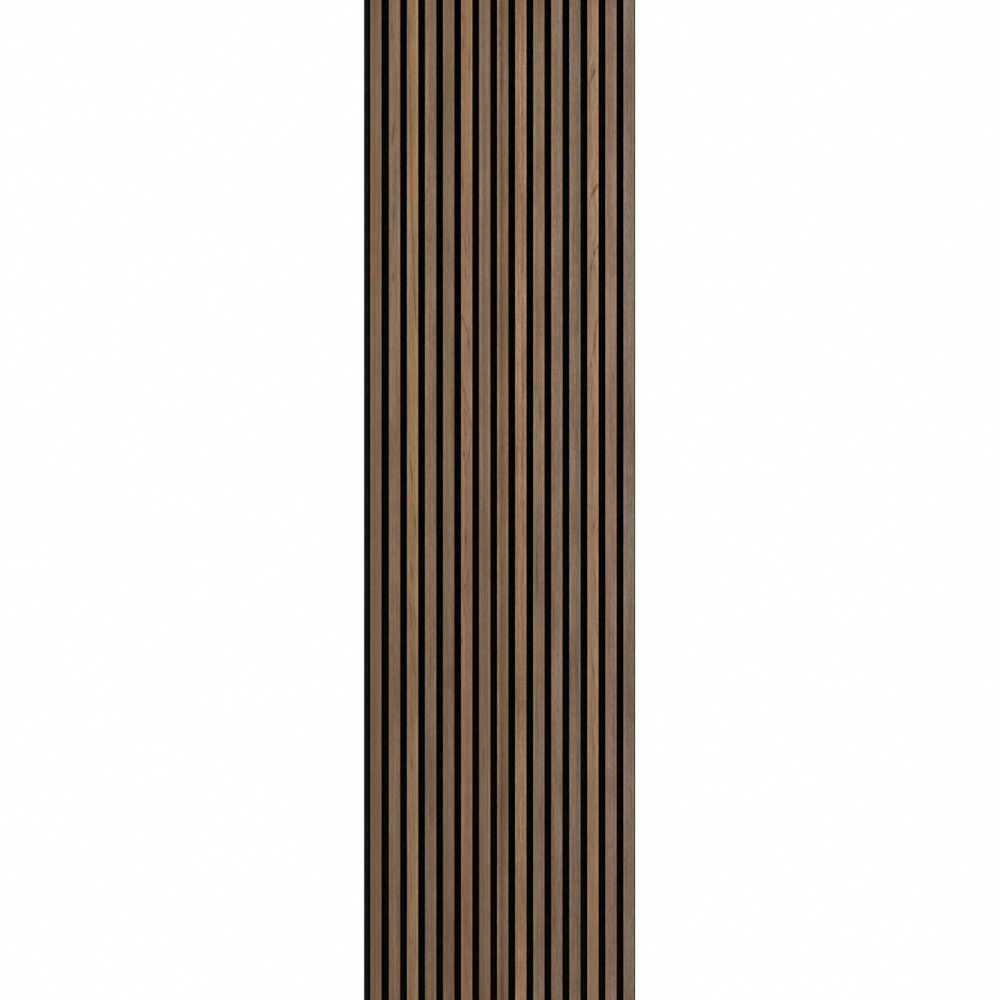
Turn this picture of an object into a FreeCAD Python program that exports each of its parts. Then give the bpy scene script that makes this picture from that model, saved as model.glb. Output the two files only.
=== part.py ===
import FreeCAD, Part
import os

import Sketcher

# Acoustic slat wall panel in millimetres. X runs across the panel and Z up it. The wall is
# the plane Y = 0, the room is on the -Y side, and the origin is the centre of the back face.
# Veneered slats are glued to a felt board, and staples driven through the felt from the back
# hold each of them.

# Driving dimensions: alias, value and what it measures.
SIZES = [
    ("panel_height", 2400, "length of the felt board and of every slat"),
    ("slat_count", 15, "number of slats side by side"),
    ("slat_width", 25.7, "width of a slat across the panel"),
    ("slat_gap", 14.15, "open felt between two slats"),
    ("first_gap", 15.6, "open felt between the first two slats, a little wider than the rest"),
    ("edge_strip", 13.8, "bare felt left of the first slat, a gap when panels stand side by side"),
    ("edge_reveal", 1.15, "felt that shows right of the last slat"),
    ("felt_thickness", 9, "pressed felt board, front to back"),
    ("core_thickness", 11.4, "fibreboard core of a slat, front to back"),
    ("veneer_thickness", 0.6, "veneer on the front of a slat"),
    ("arris_ease", 0.4, "bevel along the front edges of the veneer"),
    ("staple_rows", 6, "rows of staples up the panel"),
    ("staple_margin", 80, "from each end of the panel to the nearest row of staples"),
    ("staple_crown", 12.8, "outside width of a staple, across its slat"),
    ("wire_thickness", 0.65, "staple wire, in the plane of the staple"),
    ("wire_width", 0.95, "staple wire, across the plane of the staple"),
    ("staple_sink", 0.4, "depth of a staple's crown below the back of the felt"),
    ("staple_cover", 4, "core left in front of a staple's points"),
    ("point_slant", 1.5, "length of the slanting cut that points a staple's leg"),
]

# What follows from the driving dimensions, as expressions on the sheet.
SLAT_PITCH = "(sizes.slat_width + sizes.slat_gap)"
PANEL_WIDTH = (
    "(sizes.edge_strip + sizes.slat_count * sizes.slat_width + sizes.first_gap"
    " + (sizes.slat_count - 2) * sizes.slat_gap + sizes.edge_reveal)"
)
LOWEST_ROW = "(sizes.staple_margin - sizes.panel_height / 2)"
LEG_OUTSIDE = "(sizes.staple_crown / 2)"
LEG_INSIDE = "(sizes.staple_crown / 2 - sizes.wire_thickness)"
LEG_BITE = "(sizes.core_thickness - sizes.staple_cover)"
CROWN_UNDERSIDE = "(sizes.staple_sink + sizes.wire_thickness)"

# Slats where an even run begins: the first stands alone, the second starts all the others.
RUN_STARTS = (1, 2)


def slat_middle(number):
    """Expression for the X of a slat's middle, on a panel centred on X = 0."""
    first = f"sizes.edge_strip + sizes.slat_width / 2 - {PANEL_WIDTH} / 2"
    if number == 1:
        return f"({first})"
    return f"({first} + sizes.first_gap + sizes.slat_width + {number - 2} * {SLAT_PITCH})"


def make_sheet(doc):
    """The spreadsheet of driving dimensions, one row each."""
    sheet = doc.addObject("Spreadsheet::Sheet", "sizes")
    for row, (alias, value, meaning) in enumerate(SIZES, start=1):
        sheet.set(f"A{row}", alias)
        sheet.set(f"B{row}", str(value))
        sheet.setAlias(f"B{row}", alias)
        sheet.set(f"C{row}", meaning)
    doc.recompute()
    return sheet


def origin_feature(body, role):
    return next(feature for feature in body.Origin.OriginFeatures if feature.Role == role)


def make_body(doc, label, **place):
    """An empty body whose Placement follows the expressions given for x, y or z."""
    body = doc.addObject("PartDesign::Body", label)
    body.Label = label
    for axis, expression in place.items():
        body.setExpression(f"Placement.Base.{axis}", expression)
    return body


def cross_section(body, name, corners, height="0"):
    """A sketch square to Z at a height: one closed outline, each corner an X and a Y expression."""
    sketch = body.newObject("Sketcher::SketchObject", name)
    sketch.AttachmentSupport = [(origin_feature(body, "XY_Plane"), "")]
    sketch.MapMode = "FlatFace"
    sketch.setExpression("AttachmentOffset.Base.z", height)
    points = [FreeCAD.Vector(*map(sketch.evalExpression, corner)) for corner in corners]
    sides = zip(points, points[1:] + points[:1])
    lines = sketch.addGeometry([Part.LineSegment(*side) for side in sides], False)
    joined = zip(lines, lines[1:] + lines[:1])
    sketch.addConstraint([Sketcher.Constraint("Coincident", a, 2, b, 1) for a, b in joined])
    for line, point, corner in zip(lines, points, corners):
        for distance, value, expression in zip(("DistanceX", "DistanceY"), point, corner):
            place = sketch.addConstraint(Sketcher.Constraint(distance, -1, 1, line, 1, value))
            sketch.setExpression(f"Constraints[{place}]", expression)
    return sketch


def bar_corners(width, depth):
    """Corners of a rectangle centred on X, with its back on the X axis and its front at -Y."""
    return [
        (f"-{width} / 2", "0"),
        (f"{width} / 2", "0"),
        (f"{width} / 2", f"-{depth}"),
        (f"-{width} / 2", f"-{depth}"),
    ]


def staple_corners(middle, crown, outer_tip, inner_tip):
    """Corners of a staple's U, with the Y of its crown's back and of both edges of its leg tips."""
    return [
        (f"{middle} - {LEG_OUTSIDE}", crown),
        (f"{middle} + {LEG_OUTSIDE}", crown),
        (f"{middle} + {LEG_OUTSIDE}", outer_tip),
        (f"{middle} + {LEG_INSIDE}", inner_tip),
        (f"{middle} + {LEG_INSIDE}", f"-{CROWN_UNDERSIDE}"),
        (f"{middle} - {LEG_INSIDE}", f"-{CROWN_UNDERSIDE}"),
        (f"{middle} - {LEG_INSIDE}", inner_tip),
        (f"{middle} - {LEG_OUTSIDE}", outer_tip),
    ]


def socket_corners(side):
    """Corners of the hole that a staple's leg cuts in a core, on the side given as a sign."""
    return [
        (f"{side} * {LEG_OUTSIDE}", "0"),
        (f"{side} * {LEG_INSIDE}", "0"),
        (f"{side} * {LEG_INSIDE}", f"-{LEG_BITE}"),
        (f"{side} * {LEG_OUTSIDE}", f"sizes.point_slant - {LEG_BITE}"),
    ]


def extrude_both_ways(body, kind, name, sketch, length):
    """A Pad or a Pocket of a cross-section, half its length up and half down."""
    feature = body.newObject(f"PartDesign::{kind}", name)
    feature.Profile = sketch
    feature.SideType = "Symmetric"
    feature.setExpression("Length", length)
    body.Tip = feature
    return feature


def repeat_up_rows(doc, body, features):
    """Repeats features of the lowest row of staples in every row above it."""
    doc.recompute()
    rows = body.newObject("PartDesign::LinearPattern", "staple_rows")
    rows.Originals = features
    rows.Direction = (origin_feature(body, "Z_Axis"), [""])
    rows.setExpression("Length", f"-2 * {LOWEST_ROW}")
    rows.setExpression("Occurrences", "sizes.staple_rows")
    body.Tip = rows
    return rows


def repeat_across_run(rows):
    """Repeats rows of staples across the evenly spaced slats too."""
    body = rows.getParentGeoFeatureGroup()
    rows.Direction2 = (origin_feature(body, "X_Axis"), [""])
    rows.setExpression("Length2", f"(sizes.slat_count - 2) * {SLAT_PITCH}")
    rows.setExpression("Occurrences2", "sizes.slat_count - 1")


def make_felt(doc):
    """The felt board, with the track that each staple pressed through it."""
    body = make_body(doc, "felt_backing")
    section = cross_section(body, "felt_section", bar_corners(PANEL_WIDTH, "sizes.felt_thickness"))
    extrude_both_ways(body, "Pad", "felt_board", section, "sizes.panel_height")
    front = "-sizes.felt_thickness"
    for number in RUN_STARTS:
        corners = staple_corners(slat_middle(number), "0", front, front)
        track = cross_section(body, "staple_track", corners, LOWEST_ROW)
        cut = extrude_both_ways(body, "Pocket", "track_cut", track, "sizes.wire_width")
        rows = repeat_up_rows(doc, body, [cut])
        if number > 1:
            repeat_across_run(rows)
    return body


def make_core(doc, number):
    """The fibreboard core of one slat, with the sockets that its staples cut."""
    body = make_body(
        doc, f"slat_core_{number:02d}", x=slat_middle(number), y="-sizes.felt_thickness"
    )
    corners = bar_corners("sizes.slat_width", "sizes.core_thickness")
    section = cross_section(body, "core_section", corners)
    extrude_both_ways(body, "Pad", "core_bar", section, "sizes.panel_height")
    cuts = []
    for side in ("-1", "1"):
        socket = cross_section(body, "leg_socket", socket_corners(side), LOWEST_ROW)
        cuts.append(extrude_both_ways(body, "Pocket", "leg_cut", socket, "sizes.wire_width"))
    repeat_up_rows(doc, body, cuts)
    return body


def make_veneer(doc, number):
    """The veneer on the front of one slat, with its long front edges eased."""
    body = make_body(
        doc,
        f"slat_veneer_{number:02d}",
        x=slat_middle(number),
        y="-(sizes.felt_thickness + sizes.core_thickness)",
    )
    corners = bar_corners("sizes.slat_width", "sizes.veneer_thickness")
    section = cross_section(body, "veneer_section", corners)
    leaf = extrude_both_ways(body, "Pad", "veneer_leaf", section, "sizes.panel_height")
    doc.recompute()
    box = leaf.Shape.BoundBox
    arrises = [
        f"Edge{index}"
        for index, edge in enumerate(leaf.Shape.Edges, start=1)
        if edge.BoundBox.YMax < box.Center.y and edge.BoundBox.ZLength > box.ZLength / 2
    ]
    eased = body.newObject("PartDesign::Chamfer", "eased_arrises")
    eased.Base = (leaf, arrises)
    eased.setExpression("Size", "sizes.arris_ease")
    body.Tip = eased
    return body


def make_staples(doc):
    """All the staples, each a separate solid: one behind every slat in every row."""
    body = make_body(doc, "staples")
    body.AllowCompound = True
    point = f"-(sizes.felt_thickness + {LEG_BITE})"
    for number in RUN_STARTS:
        corners = staple_corners(
            slat_middle(number), "-sizes.staple_sink", f"{point} + sizes.point_slant", point
        )
        bent = cross_section(body, "bent_wire", corners, LOWEST_ROW)
        staple = extrude_both_ways(body, "Pad", "staple", bent, "sizes.wire_width")
        rows = repeat_up_rows(doc, body, [staple])
        if number > 1:
            repeat_across_run(rows)
    return body


def check(doc, pieces):
    """Stops before anything is written if an object failed or a piece isn't sound."""
    for item in doc.Objects:
        if {"Invalid", "Error"} & set(item.State):
            raise RuntimeError(f"{item.Label} failed: {item.State}")
    for piece in pieces:
        if piece.Shape.isNull() or not piece.Shape.isValid() or not piece.Shape.Solids:
            raise RuntimeError(f"{piece.Label} has no sound solid")


def main():
    doc = FreeCAD.newDocument("slat_wall_panel")
    sheet = make_sheet(doc)
    numbers = range(1, int(sheet.slat_count) + 1)
    pieces = [make_felt(doc)]
    pieces += [make_core(doc, number) for number in numbers]
    pieces += [make_veneer(doc, number) for number in numbers]
    pieces.append(make_staples(doc))
    doc.recompute()
    check(doc, pieces)
    os.makedirs("parts", exist_ok=True)
    for piece in pieces:
        piece.Shape.exportStep(f"parts/{piece.Label}.step")
        box = piece.Shape.BoundBox
        print(
            f"{piece.Label}: {len(piece.Shape.Solids)} solids, {piece.Shape.Volume:.1f} mm3,"
            f" {box.XLength:.2f} x {box.YLength:.2f} x {box.ZLength:.2f} mm"
        )


main()
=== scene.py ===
# Acoustic slat wall panel: walnut-veneered slats on a board of black felt.
# One shared frame in metres: X across the panel, Z up it, the room on the -Y side.
import math

import bpy
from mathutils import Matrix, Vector


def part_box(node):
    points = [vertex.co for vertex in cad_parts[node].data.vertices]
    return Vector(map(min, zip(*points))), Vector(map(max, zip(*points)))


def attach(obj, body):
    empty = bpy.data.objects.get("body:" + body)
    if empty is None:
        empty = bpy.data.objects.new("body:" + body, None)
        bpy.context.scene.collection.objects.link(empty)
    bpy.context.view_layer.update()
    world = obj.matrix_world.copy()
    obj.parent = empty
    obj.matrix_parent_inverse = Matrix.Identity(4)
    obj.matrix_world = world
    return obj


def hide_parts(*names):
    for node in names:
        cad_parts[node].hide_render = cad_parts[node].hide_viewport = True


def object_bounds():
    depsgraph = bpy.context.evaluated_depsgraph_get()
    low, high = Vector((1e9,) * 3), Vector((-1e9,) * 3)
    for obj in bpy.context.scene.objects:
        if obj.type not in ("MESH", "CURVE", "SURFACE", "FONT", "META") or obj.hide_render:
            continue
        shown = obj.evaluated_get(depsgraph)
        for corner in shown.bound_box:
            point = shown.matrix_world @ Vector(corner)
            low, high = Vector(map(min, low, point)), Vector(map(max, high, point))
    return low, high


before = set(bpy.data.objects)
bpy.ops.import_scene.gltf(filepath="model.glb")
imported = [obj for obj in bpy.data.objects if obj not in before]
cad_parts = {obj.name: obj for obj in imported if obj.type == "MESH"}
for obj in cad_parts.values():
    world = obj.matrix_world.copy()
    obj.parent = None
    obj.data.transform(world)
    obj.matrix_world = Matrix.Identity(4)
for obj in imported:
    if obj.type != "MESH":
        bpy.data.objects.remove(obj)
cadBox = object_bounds()
scene = bpy.context.scene
scene.view_settings.view_transform = "Standard"

mm = 0.001
patternDepth = 1 / mm   # mm: far more than the panel is thick, so patterns hardly change with depth
noiseLow, noiseHigh = 0.3, 0.7   # most of a noise's values lie between these
patchReach = 1.6   # a soft patch ends at so many times its width and length
squareOn = 0.9   # share of a normal along an axis from which a face counts as square to it
slatNumbers = range(1, sum(name.startswith("slat_core_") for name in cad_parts) + 1)


def cornersOf(node):
    low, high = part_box(node)
    return Vector(low), Vector(high)


slatMiddle = {}
for number in slatNumbers:
    low, high = cornersOf(f"slat_core_{number:02d}")
    slatMiddle[number] = (low.x + high.x) / 2
halfSlat = (high.x - low.x) / 2   # all slats are equally wide


def linear(hexColour):
    # sRGB hex to the linear values that shaders work in
    shares = [int(hexColour[place:place + 2], 16) / 255 for place in (1, 3, 5)]
    return [s / 12.92 if s <= 0.04045 else ((s + 0.055) / 1.055) ** 2.4 for s in shares] + [1.0]


def addNode(tree, kind, inputs=None, out=0, **settings):
    # inputs: a socket's name or number, with a plain value or the output that feeds it
    # a MapRange leads from 1 and 2 to 3 and 4; a Mix of colours has its share at 0, the colours at 6 and 7
    # and its result at output 2
    node = tree.nodes.new("ShaderNode" + kind)
    for setting, value in settings.items():
        setattr(node, setting, value)
    for socket, value in (inputs or {}).items():
        if isinstance(value, bpy.types.NodeSocket):
            tree.links.new(value, node.inputs[socket])
        else:
            node.inputs[socket].default_value = value
    return node.outputs[out] if node.outputs else None


def newMaterial(name):
    material = bpy.data.materials.new(name)
    material.use_nodes = True
    material.node_tree.nodes.clear()
    return material, material.node_tree


def dress(piece, material):
    piece.data.materials.clear()
    piece.data.materials.append(material)


def placeInMillimetres(tree, middle=0.0):
    # object coordinates in mm, with X counted from the middle of a slat
    return addNode(tree, "Mapping", {
        "Vector": addNode(tree, "TexCoord", out="Object"),
        "Location": (-middle / mm, 0, 0), "Scale": (1 / mm, 1 / mm, 1 / mm),
    })


def drawnOut(tree, place, wide, long, seed, turn=0.0, detail=1.0):
    # noise drawn out along the slat, its grains wide by long in mm
    spread = addNode(tree, "Mapping", {
        "Vector": place, "Rotation": (0, turn, 0), "Scale": (wide, patternDepth, long),
    }, vector_type="TEXTURE")
    return addNode(tree, "TexNoise", {
        "Vector": spread, "W": seed, "Scale": 1.0, "Detail": detail,
    }, noise_dimensions="4D")


def softPatch(tree, place, x, z, wide, long, tilt, strength):
    # a soft oval mark on the slat: strength in its middle, 0 around it
    oval = addNode(tree, "Mapping", {
        "Vector": place, "Location": (x, 0, z), "Rotation": (0, math.radians(tilt), 0),
        "Scale": (wide, patternDepth, long),
    }, vector_type="TEXTURE")
    away = addNode(tree, "VectorMath", {0: oval}, "Value", operation="LENGTH")
    return addNode(tree, "MapRange", {
        0: away, 1: 0.0, 2: patchReach, 3: strength, 4: 0.0,
    }, interpolation_type="SMOOTHSTEP")


# Walnut, sliced veneer under a matt lacquer. Slicing leaves long soft bands from the growth rings, thin
# streaks and short dark vessels, and no two leaves have quite the same brown. The face is painted paler
# towards each arris, a painted highlight, and the sides are sprayed black. Sizes are in mm on the slat.
# Real vessels and pores are about 0.2 mm wide: they are drawn coarser, so that they show.
veneer = {
    "bandWidth": 5.0, "bandLength": 1500.0,
    "wanderWidth": 34.0, "wanderLength": 320.0, "wander": 1.5,   # wander in bands
    "figureSeed": 3.7, "grainSeed": 10,   # how far the seeds of the noises step from slat to slat
    "figureDetail": 2.0, "figureRoughness": 0.55,   # of the noise that the bands come from
    "figureLow": 0.34, "figureHigh": 0.66,   # where it is all deep and all pale
    "grain": {   # width, length, contrast
        "streak": (3.4, 150.0, 0.18), "fibre": (3.0, 60.0, 0.195), "vessel": (2.6, 26.0, 0.215),
        "fleck": (2.2, 10.0, 0.205), "cloud": (50.0, 260.0, 0.28), "pore": (1.8, 4.0, 0.3),
    },
    "tints": [   # width, length, and the two tints that it shifts between, as shares of red, green and blue
        (60.0, 400.0, (0.97, 0.995, 1.03), (1.03, 1.005, 0.97)),
        (4.0, 120.0, (0.985, 1.0, 1.02), (1.015, 1.0, 0.98)),
        (2.8, 10.0, (0.96, 0.99, 1.05), (1.04, 1.01, 0.95)),
        (5.0, 9.0, (0.967, 1.033, 0.967), (1.033, 0.967, 1.033)),
    ],
    "grainLow": 0.25, "grainHigh": 0.60, "paleShare": 0.41,   # dark marks stand out more than pale ones
    "depth": (0.82, 1.0, 1.2),   # how much of the grain's light and dark goes to red, green and blue
    "ink": "#a4876f", "endless": 1e5,   # a streak's tint, and the length of a band that never ends
    # painted highlight along each arris: where it starts and where it is full, and how much paler it makes
    # the face
    "rimStart": 5.2, "rimFull": 2.4, "paintedRim": 0.20,   # in from the spray
    "sprayWidth": 0.9, "sprayFeather": 0.25, "spray": "#0b0b0a", "sprayRoughness": 0.9,
    "roughness": 0.55, "polish": 0.10, "ior": 1.5, "specular": 0.1, "relief": 0.04 * mm, "bump": 0.6,
}
veneerTones = {
    "tobacco": {"pale": "#886b53", "deep": "#735740"},
    "walnut": {"pale": "#8f735d", "deep": "#775c47"},
    "umber": {"pale": "#917660", "deep": "#7b604b"},
    "honey": {"pale": "#9f7c5d", "deep": "#846347"},
    "amber": {"pale": "#a48062", "deep": "#87664a"},
    "wheat": {"pale": "#a38164", "deep": "#88674d"},
    "olive": {"pale": "#896f59", "deep": "#735a45"},
    "rosy": {"pale": "#947a66", "deep": "#7d634f"},
    "ash": {"pale": "#8c7663", "deep": "#765f4d"},
}
plainSlat = {"shade": 1.0, "grain": 1.0, "lean": 0.0, "bands": [], "streaks": [], "swirls": []}
slatVeneers = {
    # shade and grain: how bright the leaf is, and how strong its grain, as shares of the usual
    # lean: how many bands the growth rings move over for each mm of height
    # bands run the whole length: x, width, colour, strength
    # streaks are dark marks, and wide ones darken a whole stretch:
    # x, z, width, length, tilt in degrees, strength
    # swirls push the growth rings aside: x, z, width, length, by how many bands
    1: {
        "tone": "tobacco", "shade": 0.97, "grain": 0.5,
        "bands": [
            (-6, 5, "#70533d", 0.35), (9, 4, "#8e6c50", 0.35),
            (-1.8, 2.2, "#6a4c36", 0.25), (3.8, 2, "#9a7759", 0.3),
        ],
    },
    2: {
        "tone": "walnut", "shade": 1.07, "grain": 0.72,
        "bands": [(-3.7, 3, "#806a50", 0.35), (6.2, 2.2, "#806a50", 0.35)],
        "streaks": [
            (-6.5, 1092, 1.8, 16, 0, 0.5), (-5.5, 1040, 2, 26, 0, 0.5), (-2.2, 812, 3.2, 32, 5, 0.5),
            (-0.7, 627, 1.8, 26, 0, 0.6), (-2.5, 585, 1.6, 20, 3, 0.4), (-3, 492, 2.2, 14, 0, 0.5),
        ],
    },
    3: {
        "tone": "honey", "shade": 1.014, "grain": 0.66, "lean": 0.004,
        "bands": [(9, 4, "#af8563", 0.35), (-3, 9, "#9a7252", 0.3)],
        "streaks": [
            (-7, 1020, 2.8, 75, 0, 0.45), (-5.2, 885, 4.2, 85, -1.5, 0.36), (-3, 747, 4.4, 95, -0.4, 0.38),
            (-0.7, 625, 3.8, 65, -2, 0.38), (2.3, 534, 3.2, 52, -1.8, 0.45), (4.8, 460, 2.8, 42, -2.1, 0.52),
            (7, 407, 2.2, 30, -3, 0.55), (-2.2, 60, 2, 36, -5, 0.7), (6.6, -55, 1.6, 28, -5, 0.7),
            (-1, -159, 2, 26, -6, 0.6), (-3.5, -244, 1.8, 30, -6, 0.55), (5, -250, 1.6, 36, -5, 0.5),
            (1.5, -354, 1.6, 40, -6, 0.5), (7.4, -444, 1.5, 36, 0, 0.4), (-2.2, -487, 1.6, 40, -3, 0.5),
            (-7.4, -516, 1.5, 40, 0, 0.4), (-2.2, -583, 1.8, 30, -3, 0.5), (-7.4, -708, 1.6, 30, 0, 0.4),
            (3.7, -720, 1.6, 40, 0, 0.4), (-2.2, -848, 1.6, 40, 0, 0.45), (7.4, -981, 1.4, 50, 0, 0.45),
        ],
        "swirls": [(-6, -220, 16, 90, 2.4), (-8, 420, 18, 110, 2.0)],
    },
    4: {
        "tone": "walnut", "shade": 0.985, "grain": 0.86,
        "bands": [(8, 3, "#7c5c44", 0.28)],
        "streaks": [
            (-7, 680, 1.8, 50, 1, 0.65), (-7, 560, 1.4, 60, 0, 0.3), (7, -300, 1.3, 70, 0, 0.35),
            (0, -370, 1.5, 50, 0, 0.5), (-0.5, -686, 2.4, 30, 0, 0.35),
        ],
    },
    5: {
        "tone": "olive", "shade": 0.983, "grain": 0.75,
        "bands": [(-3, 5, "#77624f", 0.35)],
        "streaks": [
            (-2, 560, 2.5, 60, 0, 0.25), (8.4, 170, 1.2, 110, 0, 0.4), (0, -1100, 40, 500, 0, 0.16),
        ],
    },
    6: {
        "tone": "honey", "shade": 0.98, "grain": 0.62,
        "streaks": [
            (-8.5, 1067, 1.6, 10, 0, 0.6), (-7.7, 1008, 1.6, 16, 0, 0.6), (6, 965, 1.5, 32, 0, 0.65),
            (-7.9, 700, 1.8, 24, -2, 0.7), (-1.5, 556, 1.6, 40, -10, 0.55), (3.5, 590, 1.5, 40, -8, 0.45),
            (-3, 502, 1.5, 24, -14, 0.5), (6.8, 426, 1.6, 12, -9, 0.4), (-8.5, 401, 2.4, 9, -22, 0.65),
            (-2.5, 385, 2.2, 9, -20, 0.5), (0.8, 374, 2, 8, -14, 0.5), (3.8, 353, 1.8, 10, -8, 0.55),
            (6, 336, 1.6, 12, -5, 0.45), (-4.8, 243, 2.4, 6, -10, 0.5), (0, 233, 1.8, 6, -15, 0.45),
            (6.8, 225, 1.2, 30, 0, 0.3), (-4, 199, 2, 4, 60, 0.4), (-0.9, 190, 1.8, 9, -18, 0.6),
            (-5.8, 190, 1.6, 7, 5, 0.3), (5, 176, 2, 5, 0, 0.3), (-1.1, 148, 2, 7, -25, 0.55),
            (-5.3, 101, 2.4, 9, 0, 0.85), (-2.8, 70, 1.8, 24, -4, 0.5), (6.4, 70, 1.2, 50, 0, 0.35),
            (-2, -85, 3.2, 24, 0, 0.4), (2.5, -169, 3, 6, 0, 0.4), (-2.9, -190, 2.4, 8, 18, 0.5),
            (5.8, -209, 1.4, 5, 0, 0.4), (-5.8, -248, 2, 5, 0, 0.35), (-9.8, -310, 1.6, 9, 0, 0.65),
            (-5.5, -440, 1.5, 36, 0, 0.5), (-7.5, -863, 1.6, 18, 0, 0.6), (-1.5, -920, 1.5, 45, -2, 0.4),
            (0, -1055, 1.5, 36, -3, 0.5), (0, 0, 40, 330, 0, 0.1),
        ],
        "swirls": [(-9, 330, 20, 95, 3.2), (8, 150, 16, 60, -2.2), (-8, -190, 14, 60, 1.8)],
    },
    7: {
        "tone": "walnut", "shade": 0.945, "grain": 0.62,
        "streaks": [(1, -443, 1.4, 40, 0, 0.4), (-1, -570, 1.4, 30, 0, 0.4)],
    },
    8: {
        "tone": "tobacco", "shade": 1.025, "grain": 0.85,
        "bands": [(-2, 6, "#644a38", 0.52), (-11, 2.6, "#a58465", 0.52), (4, 1.6, "#95745a", 0.3)],
        "streaks": [
            (-6.5, 1080, 2, 10, 0, 0.5), (-7, 1036, 2, 8, 0, 0.5), (-5.5, 1010, 2.2, 12, 0, 0.6),
            (-6.5, 985, 1.8, 8, 0, 0.5), (-2.5, 930, 3, 50, 0, 0.3), (-2, 640, 3, 110, 0, 0.25),
            (-7.5, 62, 1.6, 26, 0, 0.5), (-3, -690, 2.4, 50, 0, 0.35),
        ],
    },
    9: {
        "tone": "amber", "shade": 1.11, "grain": 1.0,
        "bands": [(-6.6, 1.5, "#86603f", 0.62), (1.6, 1.4, "#8a6444", 0.55), (6, 1.4, "#86603f", 0.5)],
        "streaks": [
            (-3.5, 449, 1.4, 90, -1, 0.5), (3.8, 303, 1.4, 60, -1, 0.5), (6.8, 258, 1.3, 30, 0, 0.45),
            (-4.4, -487, 1.4, 50, 0, 0.45), (-3.5, -738, 1.8, 30, 0, 0.5), (0, 1100, 40, 450, 0, 0.12),
        ],
    },
    10: {
        "tone": "umber", "shade": 1.017, "grain": 0.8,
        "streaks": [
            (5.5, 603, 1.6, 14, 0, 0.4), (4.5, 195, 2.2, 32, -3, 0.6), (2, 65, 1.6, 36, 5, 0.45),
            (-3.5, -150, 2.4, 55, 0, 0.6), (-5, -450, 1.5, 45, 0, 0.5), (-1, -509, 2, 36, 0, 0.4),
            (4, -700, 1.6, 28, 0, 0.5),
        ],
    },
    11: {
        "tone": "umber", "shade": 1.05, "grain": 0.95,
        "bands": [(-6.2, 2.2, "#6e5340", 0.33)],
        "streaks": [
            (-2.5, 963, 1.6, 45, 0, 0.6), (-7.8, 170, 1.3, 100, 0, 0.3), (-7.8, -260, 1.3, 115, 0, 0.5),
            (-4, -930, 1.4, 36, 0, 0.5), (0, -1100, 40, 450, 0, 0.14),
        ],
    },
    12: {
        "tone": "ash", "shade": 0.94, "grain": 0.93,
        "bands": [(-5, 8, "#8d705a", 0.5), (9, 5, "#726253", 0.6), (6.8, 1.1, "#544839", 0.31)],
        "streaks": [(-3.2, 580, 1.2, 65, 2, 0.5), (4.2, 259, 1.4, 36, 5, 0.4)],
    },
    13: {
        "tone": "wheat", "shade": 1.03, "grain": 0.74,
        "streaks": [
            (3, 945, 3, 8, 20, 0.75), (-0.5, 936, 2.8, 6, 55, 0.5), (-5.5, 926, 2.4, 9, 18, 0.65),
            (-0.4, 948, 7, 15, 0, 0.35), (-7, 905, 1.8, 20, 6, 0.35), (3.8, 684, 3.5, 18, 28, 0.85),
            (8.5, 694, 3, 7, 20, 0.45), (-7.3, 656, 2, 14, 6, 0.45), (11.2, 560, 1.6, 8, 20, 1.0),
            (1.9, 568, 3, 12, 10, 0.3), (3.8, 546, 2.8, 8, 5, 0.85), (0.5, 530, 1.8, 12, 14, 0.45),
            (-3.6, 513, 2.6, 11, 5, 0.85), (-6.1, 478, 1.8, 24, 3, 0.5), (7.5, 387, 2.4, 12, 4, 0.6),
            (5, 364, 2.8, 12, 4, 0.6), (3.3, 342, 2.8, 10, 6, 0.7), (0, 325, 2.2, 9, 12, 0.6),
            (-3.3, 301, 2.2, 14, 9, 0.55), (-1.5, 250, 1.6, 40, 6, 0.4), (1, 190, 1.6, 26, 0, 0.5),
            (2.8, 150, 1.6, 18, 3, 0.5), (2.8, -60, 1.8, 14, 0, 0.6), (4.6, -178, 1.5, 28, -3, 0.5),
            (8.3, -282, 1.5, 22, -5, 0.5), (-6.5, -300, 1.4, 20, 0, 0.45), (1.5, -385, 1.5, 36, -3, 0.65),
            (1.5, -540, 1.5, 28, -2, 0.5), (0, -1100, 40, 450, 0, 0.1),
        ],
        "swirls": [
            (-3, 945, 12, 30, 2.6), (-4, 690, 14, 50, 2.0), (-4, 540, 14, 46, 2.0), (-5, 340, 14, 60, 1.6),
        ],
    },
    14: {
        "tone": "rosy", "shade": 0.985, "grain": 0.85,
        "bands": [
            (-3, 1.4, "#785c49", 0.25), (5, 1.4, "#785c49", 0.21),
            (-7.1, 1.6, "#755947", 0.35), (1.8, 1.4, "#a38a76", 0.2),
        ],
        "streaks": [(-2.5, -320, 2, 50, 0, 0.4), (1, -1018, 1.5, 36, 0, 0.5), (0, 1100, 40, 450, 0, 0.12)],
    },
    15: {
        "tone": "ash", "shade": 0.932, "grain": 0.95,
        "bands": [
            (-5, 4, "#8d7362", 0.35), (8, 6, "#7a6d5b", 0.48),
            (13.2, 2.2, "#0b0b0a", 1.0),   # black spray on the panel's outer edge
        ],
    },
}


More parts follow.
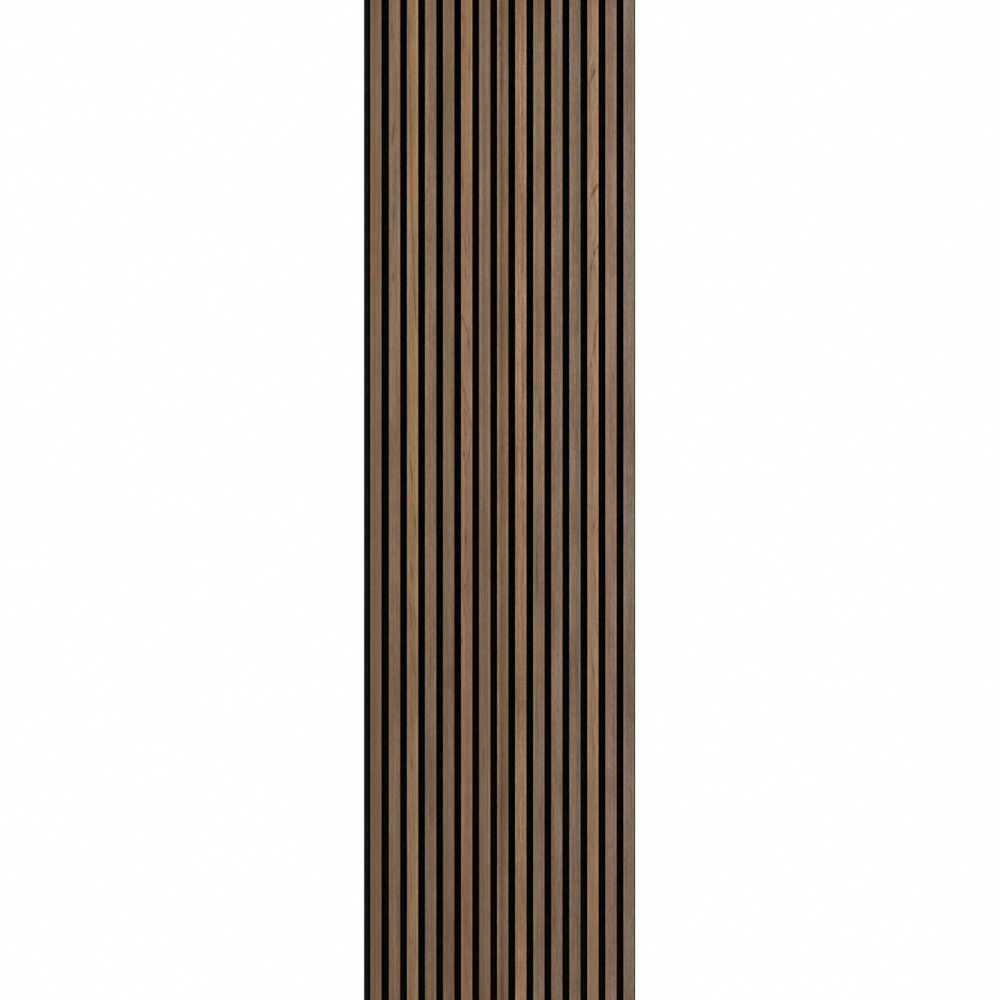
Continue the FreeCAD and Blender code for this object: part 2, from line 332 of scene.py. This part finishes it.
def ringFigure(tree, place, axes, wander, number, slat):
    # growth rings: bands across the slat that wander, lean and give way to swirls
    rings = addNode(tree, "Math", {0: axes["X"], 1: 1 / veneer["bandWidth"]}, operation="MULTIPLY")
    rings = addNode(tree, "Math", {0: axes["Z"], 1: slat["lean"], 2: rings}, operation="MULTIPLY_ADD")
    rings = addNode(tree, "Math", {0: wander, 1: veneer["wander"], 2: rings}, operation="MULTIPLY_ADD")
    for x, z, wide, long, aside in slat["swirls"]:
        swirl = softPatch(tree, place, x, z, wide, long, 0, aside)
        rings = addNode(tree, "Math", {0: rings, 1: swirl}, operation="ADD")
    along = addNode(tree, "Math", {0: axes["Z"], 1: veneer["bandLength"]}, operation="DIVIDE")
    figure = addNode(tree, "TexNoise", {
        "Vector": addNode(tree, "CombineXYZ", {"X": rings, "Z": along}),
        "W": number * veneer["figureSeed"], "Scale": 1.0,
        "Detail": veneer["figureDetail"], "Roughness": veneer["figureRoughness"],
    }, noise_dimensions="4D")
    return addNode(tree, "MapRange", {0: figure, 1: veneer["figureLow"], 2: veneer["figureHigh"]})


def leafColour(tree, place, wavy, figure, number, slat):
    # the leaf's two browns, bands of another colour, and tints from cool to warm and from olive to rosy
    tone = veneerTones[slat["tone"]]
    colour = addNode(tree, "Mix", {
        0: figure, 6: linear(tone["deep"]), 7: linear(tone["pale"]),
    }, 2, data_type="RGBA")
    for x, wide, hexColour, strength in slat["bands"]:
        band = softPatch(tree, wavy, x, 0, wide, veneer["endless"], 0, strength)
        colour = addNode(tree, "Mix", {0: band, 6: colour, 7: linear(hexColour)}, 2, data_type="RGBA")
    for step, (wide, long, first, second) in enumerate(veneer["tints"]):
        shift = drawnOut(tree, place, wide, long, number + (step + 1) / len(veneer["tints"]))
        shift = addNode(tree, "MapRange", {0: shift, 1: noiseLow, 2: noiseHigh})
        tint = addNode(tree, "Mix", {0: shift, 6: [*first, 1], 7: [*second, 1]}, 2, data_type="RGBA")
        colour = addNode(tree, "Mix", {
            0: 1.0, 6: colour, 7: tint,
        }, 2, data_type="RGBA", blend_type="MULTIPLY")
    return colour


def grainShade(tree, place, number, slat):
    # streaks, fibres, vessels and pores make the leaf lighter and darker, and give it a fine relief
    shade, relief = 1.0, 0.0
    for step, (wide, long, contrast) in enumerate(veneer["grain"].values()):
        grain = drawnOut(tree, place, wide, long, veneer["grainSeed"] * number + step)
        contrast *= slat["grain"]
        lightness = addNode(tree, "MapRange", {
            0: grain, 1: veneer["grainLow"], 2: veneer["grainHigh"],
            3: 1 - contrast, 4: 1 + veneer["paleShare"] * contrast,
        })
        shade = addNode(tree, "Math", {0: shade, 1: lightness}, operation="MULTIPLY")
        relief = addNode(tree, "Math", {0: relief, 1: grain}, operation="ADD")
    return shade, relief


def makeVeneerMaterial(number):
    slat = {**plainSlat, **slatVeneers[number]}
    material, tree = newMaterial(f"walnutVeneer{number:02d}")
    place = placeInMillimetres(tree, slatMiddle[number])
    axes = addNode(tree, "SeparateXYZ", {0: place}).node.outputs

    # rings, bands and streaks wander sideways together
    wander = drawnOut(tree, place, veneer["wanderWidth"], veneer["wanderLength"], number)
    sideways = addNode(tree, "CombineXYZ", {"X": wander})
    wavy = addNode(tree, "VectorMath", {0: place, 1: sideways}, operation="ADD")
    figure = ringFigure(tree, place, axes, wander, number, slat)
    colour = leafColour(tree, place, wavy, figure, number, slat)
    shade, relief = grainShade(tree, place, number, slat)

    # a painted highlight makes the face paler towards each arris, and dense wood takes up more blue than red
    fromMiddle = addNode(tree, "Math", {0: axes["X"]}, operation="ABSOLUTE")
    arris = halfSlat / mm - veneer["sprayWidth"]
    paintedRim = addNode(tree, "MapRange", {
        0: fromMiddle, 1: arris - veneer["rimStart"], 2: arris - veneer["rimFull"],
        3: 1.0, 4: 1 + veneer["paintedRim"],
    }, interpolation_type="SMOOTHSTEP")
    shade = addNode(tree, "Math", {0: shade, 1: paintedRim}, operation="MULTIPLY")
    shares = [addNode(tree, "Math", {0: shade, 1: depth}, operation="POWER") for depth in veneer["depth"]]
    shade = addNode(tree, "CombineXYZ", dict(enumerate(shares)))
    colour = addNode(tree, "VectorMath", {0: colour, 1: shade}, operation="MULTIPLY")
    colour = addNode(tree, "VectorMath", {0: colour, "Scale": slat["shade"]}, operation="SCALE")
    for x, z, wide, long, tilt, strength in slat["streaks"]:
        streak = softPatch(tree, wavy, x, z, wide, long, tilt, strength)
        colour = addNode(tree, "Mix", {
            0: streak, 6: colour, 7: linear(veneer["ink"]),
        }, 2, data_type="RGBA", blend_type="MULTIPLY")

    # black spray reaches round the arris
    sprayed = addNode(tree, "MapRange", {
        0: fromMiddle, 1: arris, 2: arris + veneer["sprayFeather"],
    }, interpolation_type="SMOOTHSTEP")
    colour = addNode(tree, "Mix", {
        0: sprayed, 6: colour, 7: linear(veneer["spray"]),
    }, 2, data_type="RGBA")
    roughness = addNode(tree, "MapRange", {
        0: figure, 3: veneer["roughness"] + veneer["polish"], 4: veneer["roughness"],
    })
    roughness = addNode(tree, "MapRange", {0: sprayed, 3: roughness, 4: veneer["sprayRoughness"]})
    bump = addNode(tree, "Bump", {
        "Strength": veneer["bump"], "Distance": veneer["relief"], "Height": relief,
    })
    surface = addNode(tree, "BsdfPrincipled", {
        "Base Color": colour, "Roughness": roughness, "IOR": veneer["ior"],
        "Specular IOR Level": veneer["specular"], "Normal": bump,
    })
    addNode(tree, "OutputMaterial", {"Surface": surface})
    return material


def dressVeneers():
    for number in slatNumbers:
        dress(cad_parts[f"slat_veneer_{number:02d}"], makeVeneerMaterial(number))
    print(f"veneer: {len(slatNumbers)} slats dressed")


# Fibreboard dyed through and sprayed black on its sides: dull, with short pale fibres on the sawn ends.
core = {
    "side": "#0b0b0a", "sawn": "#1f1d1b", "fibre": "#36322e",
    "fibreSize": 0.9, "fibreDetail": 4.0, "fibreLow": 0.4, "fibreHigh": 0.7,
    "speckleDark": 0.75, "speckleLight": 1.25,   # shares of the sides' colour
    "roughness": 0.75, "specular": 0.06, "relief": 0.1 * mm, "bump": 0.5,
}


def dressCores():
    material, tree = newMaterial("dyedFibreboard")
    place = placeInMillimetres(tree)
    facing = addNode(tree, "SeparateXYZ", {0: addNode(tree, "NewGeometry", out="Normal")}, "Z")
    facing = addNode(tree, "Math", {0: facing}, operation="ABSOLUTE")
    grit = addNode(tree, "TexNoise", {
        "Vector": place, "Scale": 1 / core["fibreSize"], "Detail": core["fibreDetail"],
    })
    sawn = addNode(tree, "MapRange", {0: grit, 1: core["fibreLow"], 2: core["fibreHigh"]})
    sawn = addNode(tree, "Mix", {
        0: sawn, 6: linear(core["sawn"]), 7: linear(core["fibre"]),
    }, 2, data_type="RGBA")
    speckle = addNode(tree, "MapRange", {
        0: grit, 1: noiseLow, 2: noiseHigh, 3: core["speckleDark"], 4: core["speckleLight"],
    })
    sides = addNode(tree, "VectorMath", {0: linear(core["side"])[:3], "Scale": speckle}, operation="SCALE")
    colour = addNode(tree, "Mix", {0: facing, 6: sides, 7: sawn}, 2, data_type="RGBA")
    bump = addNode(tree, "Bump", {"Strength": core["bump"], "Distance": core["relief"], "Height": grit})
    surface = addNode(tree, "BsdfPrincipled", {
        "Base Color": colour, "Roughness": core["roughness"],
        "Specular IOR Level": core["specular"], "Normal": bump,
    })
    addNode(tree, "OutputMaterial", {"Surface": surface})
    for number in slatNumbers:
        dress(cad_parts[f"slat_core_{number:02d}"], material)
    print("cores dressed")


# Pressed polyester felt, needled: black and very dull, with a haze of grey fibres that lies thick in some
# places and thin in others. Staples are pressed into its back. Its front is painted darker along the foot of
# each slat, painted shade where the slats shut out light. The real fibres are 0.1 mm thick: they are drawn
# coarser, so that they show.
felt = {
    "ground": "#10100f", "fibre": "#34332f",
    "fibreWidth": 1.4, "fibreLength": 14.0, "fibreTurns": (20, 80, 140),   # mm, and degrees
    "fluffDetail": 3.0, "strandDetail": 2.0, "hazeLow": 0.5, "hazeHigh": 0.8,
    "mottle": 26.0, "mottleDetail": 4.0, "mottleThin": 0.25, "mottleThick": 1.35,
    # painted shade on the felt's front beside each slat: where it is full, where it ends, and the share of
    # colour kept there
    "footShadeFull": 2.8, "footShadeEnd": 5.0, "footShadeKept": 0.04,   # out from the slat's foot
    "frontDepth": 8.5,   # what is further from the back counts as the front
    "roughness": 0.95, "specular": 0.03, "sheen": 0.03, "sheenRoughness": 0.5,
    "relief": 0.4 * mm, "bump": 0.8,
    "edgeRound": 1.0 * mm, "edgeSegments": 3, "edgeAngle": 60, "smoothAngle": 40,
    "dentMargin": 1.3 * mm, "dentSlope": 0.8 * mm, "dentDepth": 0.5 * mm,
}
staple = {
    "rows": 6, "wireWidth": 0.95 * mm, "wireThickness": 0.65 * mm,
    "bend": 0.6 * mm, "bendSegments": 4, "pointSlant": 1.5 * mm,
    "wireRound": 0.12 * mm, "roundSegments": 1, "roundAngle": 50, "smoothAngle": 35,
    "zinc": "#9ea3a6", "bright": "#c4c8ca", "zincRoughness": 0.45, "brightRoughness": 0.28,
    "cloud": 1.5, "cloudDetail": 3.0, "cloudLow": 0.35, "cloudHigh": 0.65,
}


def staplePlaces():
    # the heights of the rows, and the width of a staple over its crown
    low, high = cornersOf("staples")
    lowest = low.z + staple["wireWidth"] / 2
    highest = high.z - staple["wireWidth"] / 2
    step = (highest - lowest) / (staple["rows"] - 1)
    return [lowest + row * step for row in range(staple["rows"])], 2 * (slatMiddle[1] - low.x)


def addBlock(name, low, high):
    bpy.ops.object.select_all(action="DESELECT")
    bpy.ops.mesh.primitive_cube_add(size=1, location=(low + high) / 2)
    block = bpy.context.object
    block.name = name
    block.scale = high - low
    bpy.ops.object.transform_apply(location=True, rotation=False, scale=True)
    return block


def cutAcross(place, normal):
    bpy.ops.mesh.select_all(action="SELECT")
    bpy.ops.mesh.bisect(plane_co=place, plane_no=normal)


def selectFaces(piece, wanted):
    # edit mode: selects the faces whose middle and normal are wanted
    bpy.ops.mesh.select_mode(type="FACE")
    bpy.ops.mesh.select_all(action="DESELECT")
    bpy.ops.object.mode_set(mode="OBJECT")
    for face in piece.data.polygons:
        face.select = wanted(face.center, face.normal)
    bpy.ops.object.mode_set(mode="EDIT")


def selectEdges(piece, wanted):
    # edit mode: selects the edges whose two ends are wanted
    bpy.ops.mesh.select_mode(type="EDGE")
    bpy.ops.mesh.select_all(action="DESELECT")
    bpy.ops.object.mode_set(mode="OBJECT")
    points = piece.data.vertices
    for edge in piece.data.edges:
        edge.select = all(wanted(points[end].co) for end in edge.vertices)
    bpy.ops.object.mode_set(mode="EDIT")


def bevelCorners(piece, width, segments, sharperThan):
    bevel = piece.modifiers.new("corners", "BEVEL")
    bevel.width = width
    bevel.segments = segments
    bevel.angle_limit = math.radians(sharperThan)
    bpy.context.view_layer.objects.active = piece
    bpy.ops.object.modifier_apply(modifier=bevel.name)


def makeFelt():
    low, high = cornersOf("felt_backing")
    rows, crown = staplePlaces()
    columns = list(slatMiddle.values())
    board = addBlock("feltBoard", low, high)
    halfLong = crown / 2 + felt["dentMargin"]
    halfTall = staple["wireWidth"] / 2 + felt["dentMargin"]
    bpy.ops.object.mode_set(mode="EDIT")
    for x in columns:
        for side in (-halfLong, halfLong):
            cutAcross((x + side, 0, 0), (1, 0, 0))
    for z in rows:
        for side in (-halfTall, halfTall):
            cutAcross((0, 0, z + side), (0, 0, 1))

    def behindStaple(middle, normal):
        inColumn = any(abs(middle.x - x) < halfLong for x in columns)
        inRow = any(abs(middle.z - z) < halfTall for z in rows)
        return normal.y > squareOn and inColumn and inRow

    # the back is dented where each staple pulls it in
    selectFaces(board, behindStaple)
    bpy.ops.mesh.inset(thickness=felt["dentSlope"], depth=-felt["dentDepth"], use_individual=True)
    bpy.ops.object.mode_set(mode="OBJECT")
    bevelCorners(board, felt["edgeRound"], felt["edgeSegments"], felt["edgeAngle"])
    bpy.ops.object.shade_smooth_by_angle(angle=math.radians(felt["smoothAngle"]))
    dress(board, makeFeltMaterial())
    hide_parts("felt_backing")
    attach(board, "root")
    print(f"felt board: {len(board.data.polygons)} faces")


def makeFeltMaterial():
    material, tree = newMaterial("needledFelt")
    place = placeInMillimetres(tree)
    wide, long = felt["fibreWidth"], felt["fibreLength"]
    fibres = addNode(tree, "TexNoise", {"Vector": place, "Scale": 1 / wide, "Detail": felt["fluffDetail"]})
    for turn in felt["fibreTurns"]:
        strands = drawnOut(tree, place, wide, long, turn, math.radians(turn), felt["strandDetail"])
        fibres = addNode(tree, "Math", {0: fibres, 1: strands}, operation="MAXIMUM")
    mottle = addNode(tree, "TexNoise", {
        "Vector": place, "Scale": 1 / felt["mottle"], "Detail": felt["mottleDetail"],
    })
    mottle = addNode(tree, "MapRange", {
        0: mottle, 1: noiseLow, 2: noiseHigh, 3: felt["mottleThin"], 4: felt["mottleThick"],
    })
    haze = addNode(tree, "MapRange", {0: fibres, 1: felt["hazeLow"], 2: felt["hazeHigh"]})
    haze = addNode(tree, "Math", {0: haze, 1: mottle}, operation="MULTIPLY")
    colour = addNode(tree, "Mix", {
        0: haze, 6: linear(felt["ground"]), 7: linear(felt["fibre"]),
    }, 2, data_type="RGBA")

    # painted shade along the foot of each slat, on the front only
    axes = addNode(tree, "SeparateXYZ", {0: place}).node.outputs
    nearest = 1 / mm   # a metre, further than any slat
    for middle in slatMiddle.values():
        away = addNode(tree, "Math", {0: axes["X"], 1: middle / mm}, operation="SUBTRACT")
        away = addNode(tree, "Math", {0: away}, operation="ABSOLUTE")
        nearest = addNode(tree, "Math", {0: nearest, 1: away}, operation="MINIMUM")
    foot = halfSlat / mm
    paintedFootShade = addNode(tree, "MapRange", {
        0: nearest, 1: foot + felt["footShadeFull"], 2: foot + felt["footShadeEnd"],
        3: 1 - felt["footShadeKept"], 4: 0.0,
    }, interpolation_type="SMOOTHSTEP")
    front = addNode(tree, "Math", {0: axes["Y"], 1: -felt["frontDepth"]}, operation="LESS_THAN")
    paintedFootShade = addNode(tree, "Math", {0: paintedFootShade, 1: front}, operation="MULTIPLY")
    unshaded = addNode(tree, "Math", {0: 1.0, 1: paintedFootShade}, operation="SUBTRACT")
    colour = addNode(tree, "VectorMath", {0: colour, "Scale": unshaded}, operation="SCALE")
    bump = addNode(tree, "Bump", {"Strength": felt["bump"], "Distance": felt["relief"], "Height": fibres})
    surface = addNode(tree, "BsdfPrincipled", {
        "Base Color": colour, "Roughness": felt["roughness"], "Specular IOR Level": felt["specular"],
        "Sheen Weight": felt["sheen"], "Sheen Roughness": felt["sheenRoughness"], "Normal": bump,
    })
    addNode(tree, "OutputMaterial", {"Surface": surface})
    return material


def makeStaples():
    low, high = cornersOf("staples")
    rows, crown = staplePlaces()
    halfCrown = crown / 2
    halfWidth = staple["wireWidth"] / 2
    underside = high.y - staple["wireThickness"]
    inside = halfCrown - staple["wireThickness"]
    near = 0.01 * mm   # points closer than this count as in one place
    bar = addBlock(
        "staple", Vector((-halfCrown, underside, -halfWidth)), Vector((halfCrown, high.y, halfWidth)),
    )
    bpy.ops.object.mode_set(mode="EDIT")
    for x in (-inside, inside):
        cutAcross((x, 0, 0), (1, 0, 0))

    # legs, cut to a slanting point, then the two bends
    selectFaces(bar, lambda middle, normal: normal.y < -squareOn and abs(middle.x) > inside)
    bpy.ops.mesh.extrude_region_move(TRANSFORM_OT_translate={"value": (0, low.y - underside, 0)})
    selectEdges(bar, lambda point: point.y < low.y + near and abs(point.x) > halfCrown - near)
    bpy.ops.transform.translate(value=(0, staple["pointSlant"], 0))
    selectEdges(bar, lambda point: point.y > high.y - near and abs(point.x) > halfCrown - near)
    bpy.ops.mesh.bevel(offset=staple["bend"], segments=staple["bendSegments"], affect="EDGES")
    bpy.ops.object.mode_set(mode="OBJECT")
    bevelCorners(bar, staple["wireRound"], staple["roundSegments"], staple["roundAngle"])

    copies = []
    for middle in slatMiddle.values():
        for z in rows:
            copy = bar.copy()
            copy.data = bar.data.copy()
            copy.location = (middle, 0, z)
            scene.collection.objects.link(copy)
            copies.append(copy)
    bpy.data.objects.remove(bar)
    bpy.ops.object.select_all(action="DESELECT")
    for copy in copies:
        copy.select_set(True)
    bpy.context.view_layer.objects.active = copies[0]
    bpy.ops.object.join()
    joined = bpy.context.object
    joined.name = "stapleRows"
    bpy.ops.object.transform_apply(location=True, rotation=True, scale=True)
    bpy.ops.object.shade_smooth_by_angle(angle=math.radians(staple["smoothAngle"]))
    dress(joined, makeStapleMaterial())
    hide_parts("staples")
    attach(joined, "root")
    print(f"staples: {len(copies)} copies, {len(joined.data.polygons)} faces")


def makeStapleMaterial():
    # galvanised wire: soft grey zinc with faint cloudy patches
    material, tree = newMaterial("galvanisedWire")
    place = placeInMillimetres(tree)
    cloud = addNode(tree, "TexNoise", {
        "Vector": place, "Scale": 1 / staple["cloud"], "Detail": staple["cloudDetail"],
    })
    bright = addNode(tree, "MapRange", {0: cloud, 1: staple["cloudLow"], 2: staple["cloudHigh"]})
    colour = addNode(tree, "Mix", {
        0: bright, 6: linear(staple["zinc"]), 7: linear(staple["bright"]),
    }, 2, data_type="RGBA")
    roughness = addNode(tree, "MapRange", {
        0: cloud, 1: noiseLow, 2: noiseHigh, 3: staple["zincRoughness"], 4: staple["brightRoughness"],
    })
    surface = addNode(tree, "BsdfPrincipled", {
        "Base Color": colour, "Metallic": 1.0, "Roughness": roughness,
    })
    addNode(tree, "OutputMaterial", {"Surface": surface})
    return material


# Stage: a pale round of floor that fades into the white around it. Its lift is a glow that is seen but
# sheds no light on the panel.
floor = {"radius": 1.5, "corners": 96, "solid": 0.7, "colour": "#e9e8e6", "lift": 0.35}


def shownToEye(tree):
    # 1 for what the camera sees, also by reflection or through glass, and 0 for light on the panel
    ray = addNode(tree, "LightPath").node.outputs
    shown = ray["Is Camera Ray"]
    for kind in ("Is Glossy Ray", "Is Transmission Ray"):
        shown = addNode(tree, "Math", {0: shown, 1: ray[kind]}, operation="MAXIMUM")
    return shown


def makeFloor():
    bpy.ops.object.select_all(action="DESELECT")
    bpy.ops.mesh.primitive_circle_add(
        vertices=floor["corners"], radius=floor["radius"], fill_type="NGON", location=(0, 0, cadBox[0][2]),
    )
    ground = bpy.context.object
    ground.name = "floor"
    bpy.ops.object.transform_apply(location=True, rotation=False, scale=False)
    material, tree = newMaterial("paleFloor")
    place = addNode(tree, "TexCoord", out="Object")
    flat = addNode(tree, "VectorMath", {0: place, 1: (1, 1, 0)}, operation="MULTIPLY")   # without the height
    away = addNode(tree, "VectorMath", {0: flat}, "Value", operation="LENGTH")
    fade = addNode(tree, "MapRange", {
        0: away, 1: floor["solid"], 2: floor["radius"],
    }, interpolation_type="SMOOTHSTEP")
    lift = addNode(tree, "Math", {0: shownToEye(tree), 1: floor["lift"]}, operation="MULTIPLY")
    solid = addNode(tree, "AddShader", {
        0: addNode(tree, "BsdfDiffuse", {"Color": linear(floor["colour"])}),
        1: addNode(tree, "Emission", {"Strength": lift}),
    })
    surface = addNode(tree, "MixShader", {0: fade, 1: solid, 2: addNode(tree, "BsdfTransparent")})
    addNode(tree, "OutputMaterial", {"Surface": surface})
    dress(ground, material)
    print("floor laid")


# Soft studio light: white all round, a big key on the right and a fill on the far left, both above the
# panel's middle, and one lamp for the back.
light = {
    "world": 0.20,
    "key": {"at": (2.75, -2.15, 0.65), "size": 2.0, "spread": 130, "watts": 60.0, "aim": (0, 0, 0.65)},
    "fill": {"at": (-3.1, -1.5, 0.65), "size": 1.4, "spread": 130, "watts": 34.7, "aim": (0, 0, 0.65)},
    "back": {"at": (1.8, 3.0, 1.2), "size": 2.0, "spread": 180, "watts": 110.0, "aim": (0, 0, 0)},
}


def makeLight():
    world = bpy.data.worlds.new("whiteStudio")
    scene.world = world
    world.use_nodes = True
    tree = world.node_tree
    tree.nodes.clear()
    strength = addNode(tree, "MapRange", {0: shownToEye(tree), 3: light["world"], 4: 1.0})
    white = addNode(tree, "Background", {"Color": (1, 1, 1, 1), "Strength": strength})
    addNode(tree, "OutputWorld", {"Surface": white})
    for name in ("key", "fill", "back"):
        lamp = light[name]
        data = bpy.data.lights.new(name, "AREA")
        data.size = lamp["size"]
        data.spread = math.radians(lamp["spread"])
        data.energy = lamp["watts"]
        holder = bpy.data.objects.new(name, data)
        holder.location = lamp["at"]
        towards = Vector(lamp["aim"]) - Vector(lamp["at"])
        holder.rotation_euler = towards.to_track_quat("-Z", "Y").to_euler()
        scene.collection.objects.link(holder)
    print("light set")


# Straight front view with a long lens; the picture shows less than the panel's height.
camera = {
    "panelPixels": 271.3, "middlePixel": 499.58, "imagePixels": 1000,   # the panel's width and middle
    "lens": 300.0, "sensor": 36.0,
    "clipEnd": 4.0,   # in distances of the camera
}


def makeCamera():
    data = bpy.data.cameras.new("frontView")
    data.lens = camera["lens"]
    data.sensor_width = camera["sensor"]
    low, high = cornersOf("felt_backing")
    pixel = (high.x - low.x) / camera["panelPixels"]
    distance = pixel * camera["imagePixels"] * camera["lens"] / camera["sensor"]
    data.clip_end = camera["clipEnd"] * distance
    view = bpy.data.objects.new("frontView", data)
    aside = (camera["imagePixels"] / 2 - camera["middlePixel"]) * pixel
    view.location = (aside, (low.y + high.y) / 2 - distance, 0)
    view.rotation_euler = (math.radians(90), 0, 0)
    scene.collection.objects.link(view)
    scene.camera = view
    print(f"camera {distance:.2f} m in front")


dressVeneers()
dressCores()
makeFelt()
makeStaples()
makeFloor()
makeLight()
makeCamera()
